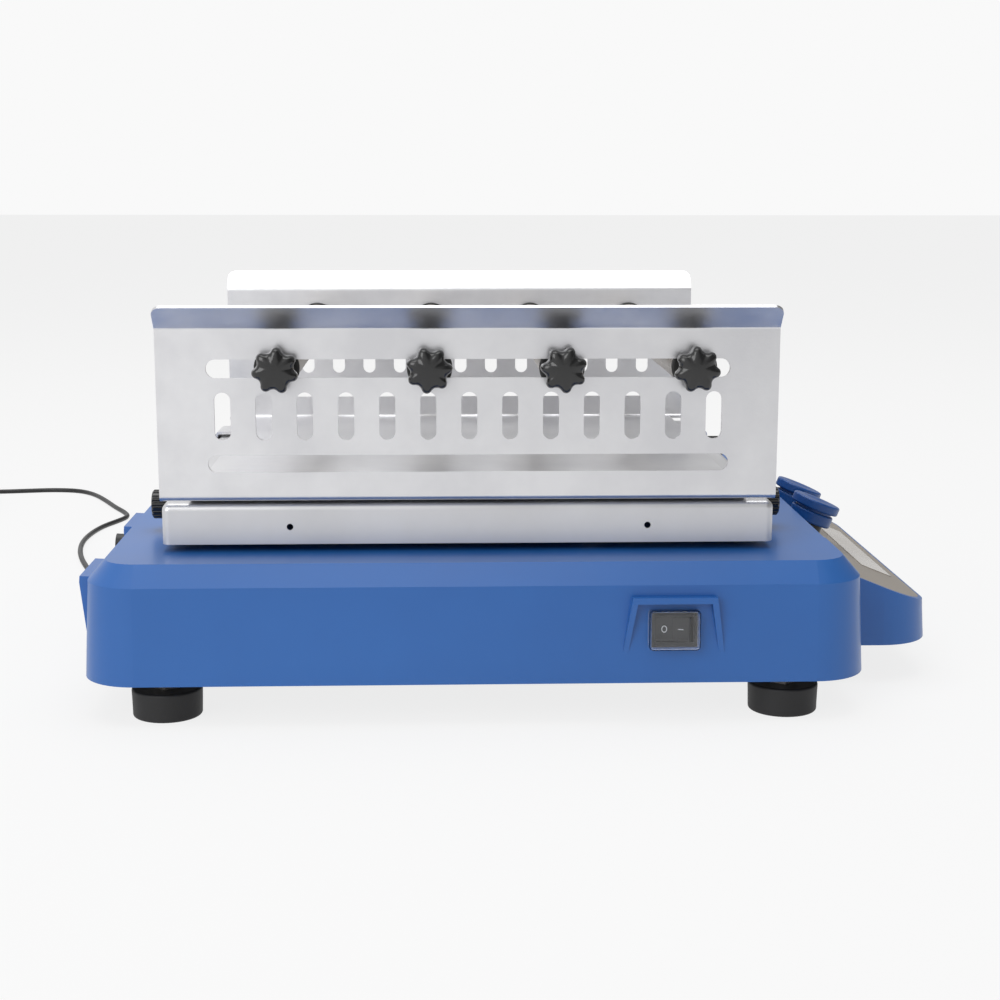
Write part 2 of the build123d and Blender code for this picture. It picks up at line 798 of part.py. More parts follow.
def make_carrier():
    web_bottom = carrier_top - carrier_web
    body = rod(carrier_screw_ring + 8, carrier_web, 0, 0, web_bottom)
    body = body + rod(pin_bearing_radius + carrier_wall, carrier_top - carrier_bottom, 0, 0, carrier_bottom)
    for k, (x, y) in enumerate(idler_places):
        angle = 90 + 360 * k / idler_count
        arm = Rot(0, 0, angle) * block(idler_ring, carrier_arm_width, carrier_web, idler_ring / 2, 0, web_bottom)
        body = body + arm
        body = body + rod(carrier_arm_width / 2, carrier_top - carrier_bottom, x, y, carrier_bottom)
    body = body - rod(pin_bearing_radius, pin_bearing_width, 0, 0, carrier_bottom)
    body = body - rod(crank_pin_radius + 1.5, carrier_top - carrier_bottom, 0, 0, carrier_bottom)
    for x, y in idler_places:
        body = body - rod(idler_bearing_radius, idler_bearing_width, x, y, carrier_bottom)
        body = body - rod(idler_shaft_radius + 1.5, carrier_top - carrier_bottom, x, y, carrier_bottom)
    for x, y in carrier_screw_places():
        body = body - rod(carrier_screw_radius, carrier_top - web_bottom, x, y, web_bottom)
    return at_stage(body)


def make_pin_bearings():
    rings = [ring(pin_bearing_radius, crank_pin_radius + run_clearance, pin_bearing_width, 0, 0, carrier_bottom)]
    for x, y in idler_places:
        inner = idler_shaft_radius + run_clearance
        rings.append(ring(idler_bearing_radius, inner, idler_bearing_width, x, y, carrier_bottom))
    return [at_stage(r) for r in rings]


def make_platform_screws():
    radius = carrier_screw_radius - run_clearance
    screw = turned([(0, platform_top), (2 * radius, platform_top), (radius, platform_top - platform_sheet),
                    (radius, platform_top - carrier_web), (0, platform_top - carrier_web)])
    screw = screw - Pos(0, 0, platform_top - 1.0) * hexagon(2.5, 1.0)
    return [at_stage(Pos(x, y, 0) * screw) for x, y in carrier_screw_places()]


def make_mat():
    width = platform_width - 2 * mat_inset
    length = tray_length - 2 * floor_set_back
    return at_stage(Pos(0, 0, platform_top) * extrude(RectangleRounded(width, length, 4), amount=mat_thickness))


# Clamping tray
def shifted(points, distance):
    """Moves a flat run of points sideways, to its left for a positive distance."""
    moved = []
    for k, point in enumerate(points):
        here = Vector(*point)
        before = (here - Vector(*points[k - 1])).normalized() if k else None
        after = (Vector(*points[k + 1]) - here).normalized() if k < len(points) - 1 else None
        before = before or after
        after = after or before
        mitre = (Vector(-before.Y, before.X) + Vector(-after.Y, after.X)).normalized()
        moved.append(here + mitre * (distance / mitre.dot(Vector(-before.Y, before.X))))
    return moved


def sheet_section(points):
    """The outline of bent sheet metal that follows a flat run of points along its middle."""
    sides = []
    for side in (-1, 1):
        radii = []
        for k in range(1, len(points) - 1):
            into = Vector(*points[k]) - Vector(*points[k - 1])
            out = Vector(*points[k + 1]) - Vector(*points[k])
            turns_left = into.cross(out).Z > 0
            inside = turns_left == (side > 0)
            radii.append(bend_radius - sheet if inside else bend_radius)
        sides.append(FilletPolyline(*shifted(points, side * sheet / 2), radius=radii))
    right, left = sides
    return make_face([right, Line(right @ 1, left @ 1), left, Line(left @ 0, right @ 0)])


def wall_slot(length, height, y, z):
    slot = Plane.YZ * Pos(y, z) * SlotOverall(length, height)
    return extrude(slot, amount=wall_out + lip_out, both=True)


def make_tray():
    middle = wall_out - sheet / 2
    floor = mat_top + sheet / 2
    run = [(-middle - lip_out, wall_top + lip_up), (-middle, wall_top), (-middle, floor)]
    run = run + [(-x, z) for x, z in reversed(run)]
    body = extrude(Plane.XZ * sheet_section(run), amount=tray_length / 2, both=True)
    corners = [e for e in body.edges() if e.center().Z > wall_top + lip_up - sheet and abs(e.length - sheet) < 0.01]
    body = fillet(corners, lip_corner_radius)
    body = body - wall_slot(rail_slot_length, rail_slot_height, 0, rail_slot_z)
    body = body - wall_slot(low_slot_length, low_slot_height, 0, low_slot_z)
    upright = extrude(Plane.YZ * Pos(0, slot_z) * SlotOverall(slot_height, slot_width, rotation=90),
                      amount=wall_out + lip_out, both=True)
    for k in range(slot_count):
        body = body - Pos(0, (k - (slot_count - 1) / 2) * slot_pitch, 0) * upright
    for side in (-1, 1):
        place = side * tray_length / 2
        body = body - block(2 * (wall_out - bend_radius - sheet), 2 * floor_set_back, 4 * sheet, 0, place,
                            mat_top - sheet)
    for side in (-1, 1):
        for x in (-tab_x, tab_x):
            body = body + make_tab(side, x)
    return at_stage(body)


def tab_face():
    return platform_length / 2 + tab_gap + sheet


def make_tab(side, x):
    floor = mat_top + sheet / 2
    edge = tab_face() - sheet / 2
    run = [(tray_length / 2 - floor_set_back - 1, floor), (edge, floor), (edge, floor - tab_drop)]
    tab = extrude(Plane.YZ * sheet_section(run), amount=tab_width / 2, both=True)
    tab = tab - Pos(0, 0, thumb_z) * Rot(90, 0, 0) * Cylinder(thumb_screw_radius + thumb_clearance, 3 * tray_length)
    turn = Rot(0, 0, 0) if side > 0 else Rot(0, 0, 180)
    return Pos(x, 0, 0) * turn * tab


def make_thumbscrew(side, x):
    start = part_gap
    top = thumb_neck + thumb_head
    head = rod(thumb_radius - 2.0, thumb_neck, 0, 0, start) + rod(thumb_radius, thumb_head, 0, 0, start + thumb_neck)
    head = chamfer(head.edges().group_by(Axis.Z)[-1], 0.8)
    for k in range(thumb_flutes):
        angle = 2 * pi * k / thumb_flutes
        head = head - rod(thumb_flute_radius, thumb_head, thumb_radius * cos(angle), thumb_radius * sin(angle),
                          start + thumb_neck)
    head = head - rod(thumb_radius - 2.5, 0.8, 0, 0, start + top - 0.8)
    head = head + rod(thumb_screw_radius, thumb_screw_length, 0, 0, start - thumb_screw_length)
    out = Plane(origin=(x, side * tab_face(), thumb_z), x_dir=(1, 0, 0), z_dir=(0, side, 0))
    return at_stage(out * head)


# Clamping bars and star knobs
def along_x(shape):
    return Rot(0, 90, 0) * shape


def at_bar(place, shape):
    return at_stage(Pos(0, place, rail_slot_z) * shape)


def ring_start():
    return wall_in - part_gap - bar_ring_length


def make_bar(place):
    stud_reach = wall_out + part_gap + star_grip - 0.5
    bar = Cylinder(bar_radius, 2 * ring_start()) + Cylinder(bar_stud_radius, 2 * stud_reach)
    return at_bar(place, along_x(bar))


def make_bar_rings(place):
    one = rod(bar_ring_radius, bar_ring_length, 0, 0, ring_start())
    one = fillet(one.edges(), 0.8) - rod(bar_stud_radius, bar_ring_length, 0, 0, ring_start())
    return [at_bar(place, along_x(one)), at_bar(place, Rot(0, -90, 0) * one)]


def star_outline():
    star = Circle(star_radius)
    for k in range(star_lobes):
        angle = 2 * pi * k / star_lobes
        reach = star_radius - star_valley + star_scoop
        star = star - Pos(reach * cos(angle), reach * sin(angle)) * Circle(star_scoop)
    return fillet(star.vertices(), star_round)


def make_star_knob(place, side, turn):
    head = extrude(star_outline(), amount=star_thickness)
    head = Pos(0, 0, star_hub_height) * chamfer(head.edges().group_by(Axis.Z)[-1], star_edge)
    knob = head + rod(star_hub_radius, star_hub_height)
    knob = knob - rod(bar_stud_radius + run_clearance, star_grip)
    out = Plane(origin=(side * (wall_out + part_gap), 0, 0), x_dir=(0, 1, 0), z_dir=(side, 0, 0))
    return at_bar(place, out * Rot(0, 0, turn) * knob)


# Sockets and boards
def make_power_socket():
    socket = rod(jack_radius, jack_depth, 0, 0, -jack_depth) + rod(jack_collar_radius, jack_collar)
    socket = socket - rod(jack_bore, jack_depth - 3, 0, 0, -jack_depth + 3 + jack_collar)
    socket = socket + rod(1.0, jack_depth - 3, 0, 0, -jack_depth + 3)
    return rear_plane(jack_x, jack_z) * socket


def make_data_socket():
    flange = extrude(RectangleRounded(port_width, port_height, 1.5), amount=port_collar)
    shell = extrude(RectangleRounded(port_shell_width, port_shell_height, 2.5), amount=port_shell_out)
    mouth = extrude(RectangleRounded(port_shell_width - 1.2, port_shell_height - 1.2, 2.0), amount=port_shell_out)
    back = block(port_shell_width, port_shell_height, port_depth, 0, 0, -port_depth)
    socket = flange + shell - mouth + back
    for row, count in ((1.4, 5), (-1.4, 4)):
        for k in range(count):
            socket = socket - rod(0.6, 6, (k - (count - 1) / 2) * 2.76, row, -6)
    return rear_plane(port_x, port_z) * socket


def make_main_board():
    board = block(main_board_width, main_board_length, board_thickness)
    parts = block(16, 22, 14, -20, -40, board_thickness) + block(10, 30, 9, 22, -35, board_thickness)
    parts = parts + rod(6, 16, -22, 10, board_thickness) + rod(6, 16, -8, 10, board_thickness)
    parts = parts + block(12, 12, 2, 12, 15, board_thickness) + block(24, 8, 7, 0, 52, board_thickness)
    return Pos(body_x + main_board_x, body_y + main_board_y, main_board_z) * (board + parts)


def board_post_places():
    reach_x = main_board_width / 2 - post_inset
    reach_y = main_board_length / 2 - post_inset
    return [(main_board_x + x, main_board_y + y) for x in (-reach_x, reach_x) for y in (-reach_y, reach_y)]


# Lead, plug and power unit
def plug_exit():
    face = rear_plane(jack_x, jack_z) * Pos(0, 0, jack_collar + plug_out - plug_radius)
    middle = face.position
    return Vector(middle.X, middle.Y, middle.Z - plug_drop - relief_length)


def make_plug():
    barrel = rod(plug_radius, plug_out, 0, 0, jack_collar) + rod(jack_bore - 0.3, 9, 0, 0, jack_collar - 9)
    barrel = barrel - rod(1.3, 10, 0, 0, jack_collar - 9)
    barrel = rear_plane(jack_x, jack_z) * barrel
    end = plug_exit()
    top = relief_length + plug_drop
    limb = turned([(0, 0), (relief_end_radius, 0), (plug_neck_radius, relief_length), (plug_neck_radius, top), (0, top)])
    return barrel + Pos(end.X, end.Y, end.Z) * limb


def cord_points():
    start = plug_exit()
    low = cord_lie
    route = [
        (19.0, 9.7),
        (37.0, 13.7),
        (61.0, 20.2),
        (89.0, 29.7),
        (117.0, 42.2),
        (144.0, 53.2),
        (171.7, 63.2),
        (197.0, 71.3),
        (225.5, 78.0),
        (255.5, 81.7),
        (284.3, 81.0),
        (309.3, 77.1),
        (328.3, 70.0),
        (346.3, 65.0),
        (364.3, 71.5),
        (384.5, 82.0),
        (413.3, 94.5),
        (442.3, 109.0),
        (459.3, 124.5),
        (463.8, 145.5),
        (460.3, 167.5),
        (456.8, 187.0),
        (456.5, 205.6),
    ]
    points = [(start.X, start.Y, start.Z), (start.X, start.Y, start.Z - 10.5)]
    points.append((lead_x + 6.5, start.Y + 2.0, 8.5))
    return points + [(lead_x + x, lead_y + y, low) for x, y in route]


def cord_path():
    points = [Vector(*p) for p in cord_points()]
    radii = []
    for k in range(1, len(points) - 1):
        into = points[k] - points[k - 1]
        out = points[k + 1] - points[k]
        turn = into.get_angle(out)
        radii.append(0.45 * min(into.length, out.length) / tan(radians(turn) / 2))
    print("cord radii", [round(r, 1) for r in radii])
    print("cord runs", [round((b - a).length, 1) for a, b in zip(points, points[1:])])
    return FilletPolyline(*points, radius=radii)


def make_cord():
    path = cord_path()
    tube = sweep(Plane(origin=path @ 0, z_dir=path % 0) * Circle(cord_radius), path=path)
    print("cord tube", round(tube.volume), "section by length", round(pi * cord_radius ** 2 * path.length))
    print("cord path length", round(path.length, 1))
    return tube


def make_coil():
    inner = coil_mean_radius - coil_band / 2
    band = Pos(inner + coil_band / 2, coil_height / 2) * RectangleRounded(coil_band, coil_height, 1.7)
    return Pos(lead_x + coil_x, lead_y + coil_y, 0) * revolve(Plane.XZ * band, Axis.Z)


def make_power_unit():
    near_end = lead_x + coil_x - coil_mean_radius - coil_band / 2 - unit_relief_length
    middle_y = lead_y + coil_y
    body = block(unit_length, unit_width, unit_height, near_end - unit_length / 2, middle_y)
    body = fillet(body.edges(), unit_edge)
    relief = turned([(0, 0), (unit_relief_radius, 0), (relief_end_radius, unit_relief_length), (0, unit_relief_length)])
    body = body + Pos(near_end, middle_y, unit_edge + unit_relief_radius) * Rot(0, 90, 0) * relief
    for y in (-unit_pin_spacing / 2, unit_pin_spacing / 2):
        pin = rod(unit_pin_radius, unit_pin_length, near_end - unit_length / 2, middle_y + y, unit_height)
        body = body + fillet(pin.edges().group_by(Axis.Z)[-1], 1.2)
    return body


def all_nodes():
    nodes = {
        "casing": make_casing(),
        "base_plate": make_base_plate(),
        "base_screws": make_base_screws(),
        "feet": make_feet(),
        "foot_hardware": make_foot_studs() + make_foot_nuts(),
        "panel_sheet": make_panel_sheet(),
        "display_window": make_window(),
        "panel_board": make_panel_board(),
        "knob_encoders": make_encoders(),
        "knob_seals": make_seals(),
        "speed_knob": make_control_knob(-knob_spacing / 2),
        "timer_knob": make_control_knob(knob_spacing / 2),
        "switch_frame": make_switch_frame(),
        "switch_rocker": make_rocker(),
        "switch_cover": make_switch_cover(),
        "power_socket": make_power_socket(),
        "data_socket": make_data_socket(),
        "main_board": make_main_board(),
        "main_hub": make_main_hub(),
        "drive_bearings": make_main_bearings() + make_idler_bearings(),
        "crank_shaft": make_crank_shaft(),
        "drive_pulley": make_drive_pulley(),
        "counterweight": make_counterweight(),
        "drive_motor": make_motor(),
        "motor_pulley": make_motor_pulley(),
        "drive_belt": make_belt(),
        "idler_hubs": make_idler_hubs(),
        "platform": make_platform(),
        "platform_carrier": make_carrier(),
        "pin_bearings": make_pin_bearings(),
        "platform_screws": make_platform_screws(),
        "platform_mat": make_mat(),
        "clamping_tray": make_tray(),
        "power_lead": make_cord(),
        "lead_coil": make_coil(),
        "lead_plug": make_plug(),
        "power_unit": make_power_unit(),
    }
    for k, (x, y) in enumerate(idler_places):
        nodes[f"idler_crank_{k + 1}"] = make_idler_crank(x, y)
    for name, side, x in (("rear_left", 1, -tab_x), ("rear_right", 1, tab_x), ("front_left", -1, -tab_x),
                          ("front_right", -1, tab_x)):
        nodes[f"thumbscrew_{name}"] = make_thumbscrew(side, x)
    for k, place in enumerate(bar_places):
        nodes[f"bar_{k + 1}"] = make_bar(place)
        nodes[f"bar_rings_{k + 1}"] = make_bar_rings(place)
        nodes[f"star_knob_{k + 1}_left"] = make_star_knob(place, -1, star_turns[k])
        nodes[f"star_knob_{k + 1}_right"] = make_star_knob(place, 1, -star_turns[k])
    return nodes


os.makedirs("parts", exist_ok=True)
for node, shape in all_nodes().items():
    solids = shape if isinstance(shape, list) else [shape]
    export_step(Compound(children=solids) if len(solids) > 1 else solids[0], f"parts/{node}.step")
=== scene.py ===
import bmesh
import bpy
import json
import math
from mathutils import Matrix, Vector


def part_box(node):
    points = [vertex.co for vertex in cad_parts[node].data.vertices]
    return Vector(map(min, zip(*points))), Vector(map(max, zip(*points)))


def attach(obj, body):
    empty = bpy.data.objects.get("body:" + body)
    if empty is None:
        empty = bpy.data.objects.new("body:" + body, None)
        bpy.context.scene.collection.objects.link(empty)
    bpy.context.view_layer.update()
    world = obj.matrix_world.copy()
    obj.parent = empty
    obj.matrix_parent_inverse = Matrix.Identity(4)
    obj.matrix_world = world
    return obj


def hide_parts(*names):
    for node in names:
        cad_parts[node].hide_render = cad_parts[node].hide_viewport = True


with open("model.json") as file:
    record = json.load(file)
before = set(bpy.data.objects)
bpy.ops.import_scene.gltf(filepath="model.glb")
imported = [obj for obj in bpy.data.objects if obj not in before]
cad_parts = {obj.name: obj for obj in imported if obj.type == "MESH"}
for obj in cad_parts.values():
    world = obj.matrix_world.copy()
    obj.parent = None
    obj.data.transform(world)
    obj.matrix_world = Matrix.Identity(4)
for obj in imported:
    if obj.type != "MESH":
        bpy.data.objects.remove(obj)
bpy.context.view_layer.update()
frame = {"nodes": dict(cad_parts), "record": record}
nodes = frame["nodes"]
scene = bpy.context.scene
MM = 0.001


# Camera: it looks at the machine's left side, with the control panel at the picture's right
def make_camera():
    right = Vector((-0.0364714, -0.9993338, 0.0013146))
    up = Vector((0.1807127, -0.0053014, 0.9835217))
    forward = Vector((0.9828595, -0.0361080, -0.1807856))
    data = bpy.data.cameras.new("camera")
    data.sensor_width = 36.0
    data.lens = 62.689
    data.clip_start = 0.01
    data.clip_end = 60.0
    camera = bpy.data.objects.new("camera", data)
    turn = Matrix((right, up, -forward)).transposed().to_4x4()
    camera.matrix_world = Matrix.Translation((-0.97622, 0.04168, 0.25416)) @ turn
    scene.collection.objects.link(camera)
    scene.camera = camera


make_camera()


def srgb(red, green, blue):
    """A colour as it looks on a screen, from 0 to 255, as the values that a shader takes."""
    def one(v):
        v = v / 255
        return v / 12.92 if v <= 0.04045 else ((v + 0.055) / 1.055) ** 2.4
    return (one(red), one(green), one(blue), 1.0)


# The lead: the same points as the solid lead, then the turns of its coil, in millimetres
plug_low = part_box("lead_plug")[0]
coil_low, coil_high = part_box("lead_coil")
coil_middle = (coil_low + coil_high) / 2
lead_radius = 1.75
casing_middle_x = 1.30992
casing_middle_y = 22.82634
plug_from_middle = 12.3
rear_from_middle = 188.5


def lead_route():
    """From the plug's lower end down to the bench, then along it to the coil."""
    plug = nodes["lead_plug"].data
    low = [v.co for v in plug.vertices if v.co.z < plug_low.z + 0.0001]
    start = sum(low, Vector()) / len(low) / MM
    base_x = casing_middle_x - plug_from_middle
    base_y = casing_middle_y + rear_from_middle
    route = [
        (19.0, 9.7), (37.0, 13.7), (61.0, 20.2), (89.0, 29.7), (117.0, 42.2), (144.0, 53.2),
        (171.7, 63.2), (197.0, 71.3), (225.5, 78.0), (255.5, 81.7), (284.3, 81.0), (309.3, 77.1),
        (328.3, 70.0), (346.3, 65.0), (364.3, 71.5), (384.5, 82.0), (413.3, 94.5), (442.3, 109.0),
        (459.3, 124.5), (463.8, 145.5), (460.3, 167.5), (456.8, 187.0),
    ]
    points = [start, start + Vector((0, 0, -10.5)), Vector((base_x + 6.5, start.y + 2.0, 8.5))]
    points += [Vector((base_x + x, base_y + y, lead_radius)) for x, y in route]
    return [p * MM for p in points]


def coil_turns():
    """Just over seven turns in three columns and three layers, which end towards the power unit."""
    columns = [22.6, 19.2, 15.8]
    layers = [1.78, 4.85, 7.75]
    stops = [(0, 0), (1, 0), (2, 0), (2, 1), (1, 1), (0, 1), (1, 2), (1, 2)]
    steps = 16
    steps_after_last_stop = 5
    change_starts = 0.72
    change_lasts = 0.28
    drawn_in = 0.98
    start = math.radians(-14)
    points = []
    for k in range((len(stops) - 1) * steps + steps_after_last_stop):
        turns = k / steps
        turn = min(int(turns), len(stops) - 2)
        part = 0.0
        if turn < len(stops) - 2:
            part = min(max((turns - turn - change_starts) / change_lasts, 0.0), 1.0)
        part = part * part * (3 - 2 * part)
        column = [columns[stops[turn + j][0]] for j in (0, 1)]
        layer = [layers[stops[turn + j][1]] for j in (0, 1)]
        angle = start + 2 * math.pi * k / steps
        wander = 0.25 * math.sin(2.3 * k) + 0.2 * math.sin(0.9 * k + 1)
        radius = (column[0] + (column[1] - column[0]) * part + wander * 0.6) / drawn_in
        height = layer[0] + (layer[1] - layer[0]) * part
        points.append(Vector((coil_middle.x / MM + radius * math.cos(angle),
                              coil_middle.y / MM + radius * math.sin(angle), height)) * MM)
    return points


def make_lead():
    """One curve from the plug in the casing to the power unit."""
    unit_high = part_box("power_unit")[1]
    tip = [v.co for v in nodes["power_unit"].data.vertices if v.co.x > unit_high.x - 0.00005]
    tip = sum(tip, Vector()) / len(tip)
    points = lead_route() + coil_turns()
    for step in ((0.011, 0.0003, -0.0002), (0.005, 0, 0), (-0.001, 0, 0)):
        points.append(tip + Vector(step))
    curve = bpy.data.curves.new("power_lead_line", "CURVE")
    curve.dimensions = "3D"
    spline = curve.splines.new("NURBS")
    spline.points.add(len(points) - 1)
    for point, at in zip(spline.points, points):
        point.co = (*at, 1.0)
    spline.order_u = 3
    spline.use_endpoint_u = True
    spline.resolution_u = 8
    curve.bevel_depth = lead_radius * MM
    curve.bevel_resolution = 5
    curve.use_fill_caps = True
    lead = bpy.data.objects.new("lead_line", curve)
    scene.collection.objects.link(lead)
    return lead, points


lead, lead_points = make_lead()


# Small helpers for meshes
def mesh_piece(name, form, smooth=True):
    mesh = bpy.data.meshes.new(name)
    form.to_mesh(mesh)
    form.free()
    piece = bpy.data.objects.new(name, mesh)
    scene.collection.objects.link(piece)
    for face in mesh.polygons:
        face.use_smooth = smooth
    return piece


def rings_to_mesh(form, rings, looped=False):
    """Joins rings of the same number of points into a skin, closed at its ends or looped."""
    rows = [[form.verts.new(p) for p in ring] for ring in rings]
    pairs = list(zip(rows, rows[1:]))
    if looped:
        pairs.append((rows[-1], rows[0]))
    for low, high in pairs:
        count = len(low)
        for k in range(count):
            form.faces.new((low[k], low[(k + 1) % count], high[(k + 1) % count], high[k]))
    if not looped:
        form.faces.new(list(reversed(rows[0])))
        form.faces.new(rows[-1])
    bmesh.ops.recalc_face_normals(form, faces=form.faces)


def make_tie():
    """The band that holds the coil."""
    form = bmesh.new()
    turn = math.radians(118)
    out = Vector((math.cos(turn), math.sin(turn), 0))
    along = Vector((-math.sin(turn), math.cos(turn), 0))
    centre = Vector((coil_middle.x, coil_middle.y, 0))
    middle_reach = 19.3
    middle_height = 4.95
    outer_size = (5.75, 4.9)
    inner_size = (5.2, 4.3)
    half_width = 2.6
    steps = 40
    rings = []
    for k in range(steps):
        angle = 2 * math.pi * k / steps
        c, s = math.cos(angle), math.sin(angle)
        across = math.copysign(abs(c) ** 0.55, c)
        rise = math.copysign(abs(s) ** 0.6, s)
        ring = []
        for size, side in ((outer_size, 1), (outer_size, -1), (inner_size, -1), (inner_size, 1)):
            reach = middle_reach + size[0] * across
            height = middle_height + size[1] * rise
            ring.append(centre + (out * reach + Vector((0, 0, height)) + along * half_width * side) * MM)
        rings.append(ring)
    rings_to_mesh(form, rings, looped=True)
    return mesh_piece("coil_tie", form, smooth=False)


tie = make_tie()
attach(lead, "base")
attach(tie, "base")
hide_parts("power_lead", "lead_coil")


# Node helpers for materials
def new_material(name):
    material = bpy.data.materials.new(name)
    material.use_nodes = True
    tree = material.node_tree
    shader = tree.nodes["Principled BSDF"]
    return material, tree, shader


def group_input(group, name, kind, value):
    socket = group.interface.new_socket(name=name, in_out="INPUT", socket_type=kind)
    socket.default_value = value


def group_output(group, name, kind):
    group.interface.new_socket(name=name, in_out="OUTPUT", socket_type=kind)


def place(tree, kind, **values):
    node = tree.nodes.new(kind)
    for key, value in values.items():
        setattr(node, key, value)
    return node


def math_node(tree, operation, first, second):
    node = place(tree, "ShaderNodeMath", operation=operation)
    for socket, value in ((0, first), (1, second)):
        if isinstance(value, (int, float)):
            node.inputs[socket].default_value = value
        else:
            tree.links.new(value, node.inputs[socket])
    return node.outputs[0]


def make_fine_grain():
    """Even grain, as on moulded or blasted surfaces: a height, and a slow mask for marks of handling."""
    group = bpy.data.node_groups.new("fine_grain", "ShaderNodeTree")
    group_input(group, "Scale", "NodeSocketFloat", 1500.0)
    group_input(group, "Stretch", "NodeSocketVector", (1.0, 1.0, 1.0))
    group_input(group, "Patch Scale", "NodeSocketFloat", 12.0)
    group_output(group, "Height", "NodeSocketFloat")
    group_output(group, "Patches", "NodeSocketFloat")
    enter = place(group, "NodeGroupInput")
    leave = place(group, "NodeGroupOutput")
    where = place(group, "ShaderNodeTexCoord")
    stretch = place(group, "ShaderNodeVectorMath", operation="MULTIPLY")
    group.links.new(where.outputs["Object"], stretch.inputs[0])
    group.links.new(enter.outputs["Stretch"], stretch.inputs[1])
    grain = place(group, "ShaderNodeTexNoise")
    grain.inputs["Detail"].default_value = 2.0
    group.links.new(stretch.outputs[0], grain.inputs["Vector"])
    group.links.new(enter.outputs["Scale"], grain.inputs["Scale"])
    patch = place(group, "ShaderNodeTexNoise")
    patch.inputs["Detail"].default_value = 4.0
    patch.inputs["Roughness"].default_value = 0.6
    group.links.new(where.outputs["Object"], patch.inputs["Vector"])
    group.links.new(enter.outputs["Patch Scale"], patch.inputs["Scale"])
    group.links.new(grain.outputs["Fac"], leave.inputs["Height"])
    group.links.new(patch.outputs["Fac"], leave.inputs["Patches"])
    return group


def make_tone():
    """Moves a colour a little darker and lighter with a mask."""
    group = bpy.data.node_groups.new("tone", "ShaderNodeTree")
    group_input(group, "Dark", "NodeSocketColor", (0.1, 0.1, 0.1, 1))
    group_input(group, "Light", "NodeSocketColor", (0.2, 0.2, 0.2, 1))
    group_input(group, "Mask", "NodeSocketFloat", 0.5)
    group_input(group, "From", "NodeSocketFloat", 0.35)
    group_input(group, "To", "NodeSocketFloat", 0.65)
    group_output(group, "Color", "NodeSocketColor")
    enter = place(group, "NodeGroupInput")
    leave = place(group, "NodeGroupOutput")
    span = place(group, "ShaderNodeMapRange")
    group.links.new(enter.outputs["Mask"], span.inputs["Value"])
    group.links.new(enter.outputs["From"], span.inputs["From Min"])
    group.links.new(enter.outputs["To"], span.inputs["From Max"])
    mix = place(group, "ShaderNodeMix", data_type="RGBA")
    group.links.new(span.outputs["Result"], mix.inputs["Factor"])
    group.links.new(enter.outputs["Dark"], mix.inputs["A"])
    group.links.new(enter.outputs["Light"], mix.inputs["B"])
    group.links.new(mix.outputs["Result"], leave.inputs["Color"])
    return group


fine_grain = make_fine_grain()
tone = make_tone()


def finish_material(name, dark, light, rough, metal=0.0, grain=1500.0, stretch=(1, 1, 1), bump=0.1,
                    depth=0.02, patch=12.0, coat=0.0, coat_rough=0.1):
    """Two close tones over slow patches, grain as bump, and roughness that follows the patches."""
    specular = 0.5
    spread = 0.05
    material, tree, shader = new_material(name)
    grain_node = place(tree, "ShaderNodeGroup", node_tree=fine_grain)
    grain_node.inputs["Scale"].default_value = grain
    grain_node.inputs["Stretch"].default_value = stretch
    grain_node.inputs["Patch Scale"].default_value = patch
    tone_node = place(tree, "ShaderNodeGroup", node_tree=tone)
    tone_node.inputs["Dark"].default_value = dark
    tone_node.inputs["Light"].default_value = light
    tree.links.new(grain_node.outputs["Patches"], tone_node.inputs["Mask"])
    tree.links.new(tone_node.outputs["Color"], shader.inputs["Base Color"])
    rough_span = place(tree, "ShaderNodeMapRange")
    rough_span.inputs["From Min"].default_value = 0.3
    rough_span.inputs["From Max"].default_value = 0.7
    rough_span.inputs["To Min"].default_value = rough - spread
    rough_span.inputs["To Max"].default_value = rough + spread
    tree.links.new(grain_node.outputs["Patches"], rough_span.inputs["Value"])
    tree.links.new(rough_span.outputs["Result"], shader.inputs["Roughness"])
    shader.inputs["Metallic"].default_value = metal
    shader.inputs["Specular IOR Level"].default_value = specular
    shader.inputs["Coat Weight"].default_value = coat
    shader.inputs["Coat Roughness"].default_value = coat_rough
    relief = place(tree, "ShaderNodeBump")
    relief.inputs["Strength"].default_value = bump
    relief.inputs["Distance"].default_value = depth * MM
    tree.links.new(grain_node.outputs["Height"], relief.inputs["Height"])
    tree.links.new(relief.outputs["Normal"], shader.inputs["Normal"])
    return material


